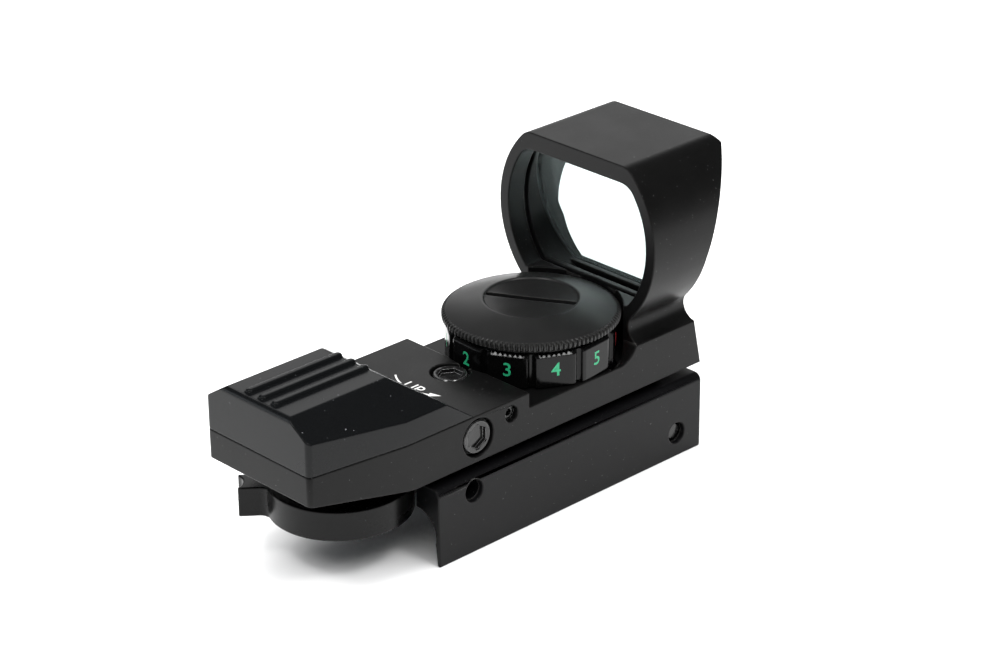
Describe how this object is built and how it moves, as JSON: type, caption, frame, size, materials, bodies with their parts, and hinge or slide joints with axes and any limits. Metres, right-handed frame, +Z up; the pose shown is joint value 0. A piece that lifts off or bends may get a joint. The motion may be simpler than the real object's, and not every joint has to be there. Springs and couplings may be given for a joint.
{
  "type": "reflex red dot finder",
  "caption": "Open reflex dot sight with a lens hood, rotary brightness dial, reticle selector, adjusters and a rail clamp.",
  "frame": {"origin": "middle of the clamp's face that rests on top of the rail, on the sight's mid-plane", "axes": "+Z up, +Y forward through the lens, +X to the right seen from behind, the side with the windage screw"},
  "size_m": [0.0348, 0.0876, 0.0521],
  "materials": {
    "housing_finish": "fine satin black anodised and painted aluminium",
    "cover_plastic": "smooth moulded black plastic",
    "window_plastic": "clear moulded window",
    "lens_glass": "coated glass with a faint green-blue reflection",
    "ring_finish": "matt black",
    "dial_finish": "satin black with painted numbers",
    "cap_finish": "turned black anodised aluminium",
    "seal_rubber": "black rubber",
    "selector_finish": "moulded black plastic",
    "mount_finish": "satin black anodised aluminium",
    "screw_steel": "black oxide steel",
    "bright_steel": "plain steel",
    "spring_steel": "spring wire",
    "contact_brass": "plated brass",
    "board_green": "circuit board",
    "led_body": "clear resin",
    "wire_cover": "insulated wire",
    "cell_steel": "nickel plated cell",
    "reticle_glass": "glass disc with four clear aiming marks",
    "mirror_glass": "front-silvered glass",
    "carriage_metal": "machined aluminium"
  },
  "bodies": {
    "housing": {"main_housing": "housing_finish", "rear_cover": "cover_plastic", "cover_window": "window_plastic", "cover_screws": "screw_steel", "objective_lens": "lens_glass", "lens_retainer": "ring_finish", "dial_bush": "contact_brass", "rheostat_board": "board_green", "dial_detent_ball": "bright_steel", "dial_detent_spring": "spring_steel", "emitter_board": "board_green", "emitter_led": "led_body", "lead_wires": "wire_cover", "selector_detent_ball": "bright_steel", "selector_detent_spring": "spring_steel", "yoke_pivot": "bright_steel", "windage_spring": "spring_steel", "elevation_spring": "spring_steel", "mount_base": "mount_finish", "mount_screws": "screw_steel"},
    "dial": {"brightness_dial": "dial_finish", "dial_clip": "bright_steel", "wiper_contact": "contact_brass", "coin_cell": "cell_steel", "battery_contact": "contact_brass"},
    "cap_seal_ring": {"cap_seal": "seal_rubber"},
    "cap": {"battery_cap": "cap_finish"},
    "selector": {"selector_drum": "selector_finish", "reticle_disc": "reticle_glass", "selector_screw": "screw_steel"},
    "elevation_adjuster": {"elevation_screw": "screw_steel"},
    "windage_adjuster": {"windage_screw": "screw_steel"},
    "elevation_lock": {"elevation_lock_screw": "screw_steel"},
    "yoke": {"windage_yoke": "carriage_metal", "carriage_pin": "bright_steel"},
    "carriage": {"mirror_carriage": "carriage_metal", "mirror_plate": "mirror_glass"},
    "jaw": {"clamp_jaw": "mount_finish"},
    "rear_bolt": {"clamp_bolt_rear": "screw_steel"},
    "front_bolt": {"clamp_bolt_front": "screw_steel"}
  },
  "joints": [
    {"name": "dial_turn", "type": "hinge", "parent": "housing", "child": "dial", "pos_m": [0, 0.0053, 0.017], "axis": [0, 0, 1], "continuous": true},
    {"name": "cap_lift", "type": "slide", "parent": "dial", "child": "cap_seal_ring", "axis": [0, 0, 1], "range_m": [0, 0.002]},
    {"name": "cap_turn", "type": "hinge", "parent": "cap_seal_ring", "child": "cap", "pos_m": [0, 0.0053, 0.021], "axis": [0, 0, 1], "range_deg": [0, 721]},
    {"name": "selector_turn", "type": "hinge", "parent": "housing", "child": "selector", "pos_m": [0, -0.03577, 0.004], "axis": [0, 0, 1], "range_deg": [0, 80]},
    {"name": "elevation_turn", "type": "hinge", "parent": "housing", "child": "elevation_adjuster", "pos_m": [0, -0.01245, 0.0155], "axis": [0, 0, 1], "range_deg": [-300, 300]},
    {"name": "windage_turn", "type": "hinge", "parent": "housing", "child": "windage_adjuster", "pos_m": [0.0138, -0.01975, 0.0128], "axis": [1, 0, 0], "range_deg": [-300, 300]},
    {"name": "elevation_lock_turn", "type": "hinge", "parent": "housing", "child": "elevation_lock", "pos_m": [0.0132, -0.01265, 0.0143], "axis": [1, 0, 0], "range_deg": [0, 720]},
    {"name": "yoke_swing", "type": "hinge", "parent": "housing", "child": "yoke", "pos_m": [0, -0.0356, 0.0155], "axis": [0, 0, 1], "range_deg": [-1.1, 1.1]},
    {"name": "mirror_tilt", "type": "hinge", "parent": "yoke", "child": "carriage", "pos_m": [0, -0.033, 0.0173], "axis": [1, 0, 0], "range_deg": [-1.2, 1.2]},
    {"name": "jaw_slide", "type": "slide", "parent": "housing", "child": "jaw", "axis": [-1, 0, 0], "range_m": [0, 0.003]},
    {"name": "rear_bolt_turn", "type": "hinge", "parent": "jaw", "child": "rear_bolt", "pos_m": [-0.016, -0.0218, 0.0048], "axis": [-1, 0, 0], "range_deg": [0, 1801]},
    {"name": "front_bolt_turn", "type": "hinge", "parent": "jaw", "child": "front_bolt", "pos_m": [-0.016, 0.02365, -0.0016], "axis": [-1, 0, 0], "range_deg": [0, 1801]}
  ],
  "couplings": [
    {"joint": "cap_turn", "follows": "cap_lift", "rad_per_m": 6283.2},
    {"joint": "mirror_tilt", "follows": "elevation_turn", "ratio": 0.003872},
    {"joint": "yoke_swing", "follows": "windage_turn", "ratio": -0.003514},
    {"joint": "rear_bolt_turn", "follows": "jaw_slide", "rad_per_m": 10472},
    {"joint": "front_bolt_turn", "follows": "jaw_slide", "rad_per_m": 10472}
  ]
}
